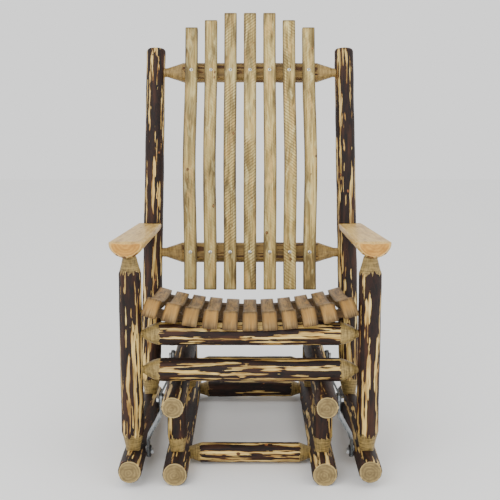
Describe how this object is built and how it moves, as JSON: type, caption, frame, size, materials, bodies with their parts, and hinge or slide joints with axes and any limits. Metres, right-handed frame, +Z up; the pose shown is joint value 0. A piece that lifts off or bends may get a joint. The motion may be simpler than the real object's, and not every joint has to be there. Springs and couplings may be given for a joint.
{
  "type": "glider rocking chair",
  "caption": "Rustic log glider rocker: a log armchair with a slatted contoured seat and arched slat back, hung from a floor base on four swinging steel links.",
  "frame": {"origin": "on the floor, in the middle of the outline", "axes": "+Z up, +Y towards the back of the chair, so the sitter faces -Y; X is left to right, mirror plane at X = 0"},
  "size_m": [0.682, 0.7272, 1.2033],
  "materials": {
    "bark_posts": "skip-peeled log, dark bark with peeled streaks, satin",
    "bark_rails": "skip-peeled log, half bark and half peeled, satin",
    "bark_runners": "skip-peeled log with sawn ends, satin",
    "peeled_rails": "hand-peeled log, satin",
    "arms": "planed half log, satin",
    "seat_slats": "rough-sawn slat with eased corners, matt",
    "back_slats": "rough-sawn slat with eased corners, matt",
    "support_boards": "sawn board, dark stain",
    "link_steel": "dark grey coated flat steel",
    "zinc_fasteners": "zinc plated",
    "nylon_bushes": "black moulded nylon"
  },
  "bodies": {
    "base": {"base_runner_left": "bark_runners", "base_runner_right": "bark_runners", "base_rail_left": "bark_rails", "base_rail_right": "bark_rails", "base_front_posts": "bark_posts", "base_rear_posts": "bark_posts", "base_front_stretcher": "bark_rails", "base_rear_stretcher": "bark_rails", "base_rear_cross_rail": "bark_rails", "base_pivot_bolts": "zinc_fasteners", "base_pivot_washers": "zinc_fasteners"},
    "link_front_left": {"link_front_left": "link_steel", "bushes_front_left": "nylon_bushes"},
    "link_front_right": {"link_front_right": "link_steel", "bushes_front_right": "nylon_bushes"},
    "link_rear_left": {"link_rear_left": "link_steel", "bushes_rear_left": "nylon_bushes"},
    "link_rear_right": {"link_rear_right": "link_steel", "bushes_rear_right": "nylon_bushes"},
    "chair": {"chair_pivot_bolts": "zinc_fasteners", "chair_pivot_washers": "zinc_fasteners", "side_runner_left": "bark_runners", "side_runner_right": "bark_runners", "front_post_left": "bark_posts", "front_post_right": "bark_posts", "rear_post_left": "bark_posts", "rear_post_right": "bark_posts", "arm_left": "arms", "arm_right": "arms", "arm_lag_screws": "zinc_fasteners", "front_rail_upper": "bark_rails", "front_rail_lower": "bark_rails", "seat_rear_rail": "bark_rails", "back_rail_lower": "peeled_rails", "back_rail_upper": "peeled_rails", "seat_support_front": "support_boards", "seat_support_rear": "support_boards", "support_screws": "zinc_fasteners", "seat_slat_1": "seat_slats", "seat_slat_2": "seat_slats", "seat_slat_3": "seat_slats", "seat_slat_4": "seat_slats", "seat_slat_5": "seat_slats", "seat_slat_6": "seat_slats", "seat_slat_7": "seat_slats", "seat_slat_8": "seat_slats", "seat_slat_9": "seat_slats", "seat_slat_10": "seat_slats", "seat_slat_11": "seat_slats", "seat_screws": "zinc_fasteners", "back_slat_1": "back_slats", "back_slat_2": "back_slats", "back_slat_3": "back_slats", "back_slat_4": "back_slats", "back_slat_5": "back_slats", "back_slat_6": "back_slats", "back_slat_7": "back_slats", "back_screws": "zinc_fasteners"}
  },
  "joints": [
    {"name": "glide", "type": "hinge", "parent": "base", "child": "link_front_left", "pos_m": [-0.222, -0.28364, 0.203], "axis": [1, 0, 0], "range_deg": [-15, 15]},
    {"name": "link_front_right_swing", "type": "hinge", "parent": "base", "child": "link_front_right", "pos_m": [0.222, -0.28364, 0.203], "axis": [1, 0, 0], "range_deg": [-16, 16]},
    {"name": "link_rear_left_swing", "type": "hinge", "parent": "base", "child": "link_rear_left", "pos_m": [-0.222, 0.06174, 0.203], "axis": [1, 0, 0], "range_deg": [-16, 16]},
    {"name": "link_rear_right_swing", "type": "hinge", "parent": "base", "child": "link_rear_right", "pos_m": [0.222, 0.06174, 0.203], "axis": [1, 0, 0], "range_deg": [-16, 16]},
    {"name": "chair_tilt", "type": "hinge", "parent": "link_front_left", "child": "chair", "pos_m": [-0.263, -0.23968, 0.045], "axis": [1, 0, 0], "range_deg": [-19, 19]}
  ],
  "couplings": [
    {"joint": "link_front_right_swing", "follows": "glide", "ratio": 1},
    {"joint": "link_rear_left_swing", "follows": "glide", "ratio": 0.9579},
    {"joint": "link_rear_right_swing", "follows": "glide", "ratio": 0.9579},
    {"joint": "chair_tilt", "follows": "glide", "ratio": -1.1621}
  ]
}
